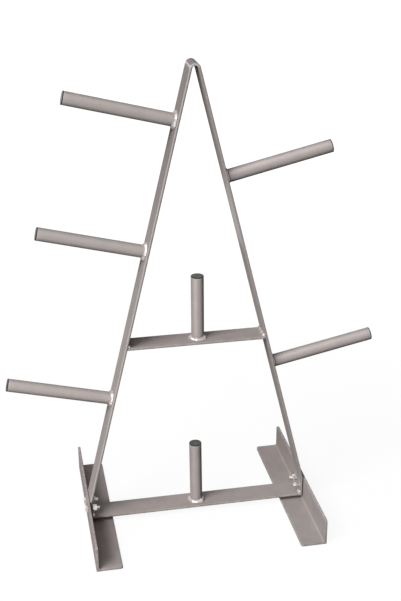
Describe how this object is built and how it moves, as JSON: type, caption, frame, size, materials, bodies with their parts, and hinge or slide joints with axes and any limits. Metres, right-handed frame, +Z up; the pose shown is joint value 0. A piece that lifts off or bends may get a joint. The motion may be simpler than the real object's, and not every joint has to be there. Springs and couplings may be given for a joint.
{
  "type": "plate tree",
  "caption": "Free-standing A-shaped steel rack on angle-iron feet, with round pegs out from both legs and upright on the crossbars, to store weight plates.",
  "frame": {"origin": "on the floor, at the middle of the space the whole rack fills", "axes": "+X from the left foot to the right foot, where left is the side with three pegs; +Y from the front to the back; +Z up"},
  "size_m": [0.7426, 0.386, 0.9415],
  "materials": {
    "grey_paint": "warm light grey satin paint on mild steel",
    "painted_weld": "the same paint, glossier, over a rippled weld bead",
    "cap_plastic": "charcoal moulded polyethylene, fine matt grain",
    "zinc_plate": "bright zinc-plated steel"
  },
  "bodies": {
    "root": {"a_frame_bar": "grey_paint", "middle_crossbar": "grey_paint", "lower_crossbar": "grey_paint", "foot_left": "grey_paint", "foot_right": "grey_paint", "peg_left_upper": "grey_paint", "peg_left_middle": "grey_paint", "peg_left_lower": "grey_paint", "peg_right_upper": "grey_paint", "peg_right_lower": "grey_paint", "peg_upright_middle": "grey_paint", "peg_upright_lower": "grey_paint", "weld_left_upper": "painted_weld", "weld_left_middle": "painted_weld", "weld_left_lower": "painted_weld", "weld_right_upper": "painted_weld", "weld_right_lower": "painted_weld", "weld_upright_middle": "painted_weld", "weld_upright_lower": "painted_weld", "weld_middle_crossbar_left": "painted_weld", "weld_middle_crossbar_right": "painted_weld", "weld_lower_crossbar_left": "painted_weld", "weld_lower_crossbar_right": "painted_weld", "cap_left_upper": "cap_plastic", "cap_left_middle": "cap_plastic", "cap_left_lower": "cap_plastic", "cap_right_upper": "cap_plastic", "cap_right_lower": "cap_plastic", "cap_upright_middle": "cap_plastic", "cap_upright_lower": "cap_plastic", "bolt_left_front": "zinc_plate", "bolt_left_back": "zinc_plate", "bolt_right_front": "zinc_plate", "bolt_right_back": "zinc_plate", "washer_left_front": "zinc_plate", "washer_left_back": "zinc_plate", "washer_right_front": "zinc_plate", "washer_right_back": "zinc_plate", "nut_left_front": "zinc_plate", "nut_left_back": "zinc_plate", "nut_right_front": "zinc_plate", "nut_right_back": "zinc_plate"}
  },
  "joints": []
}
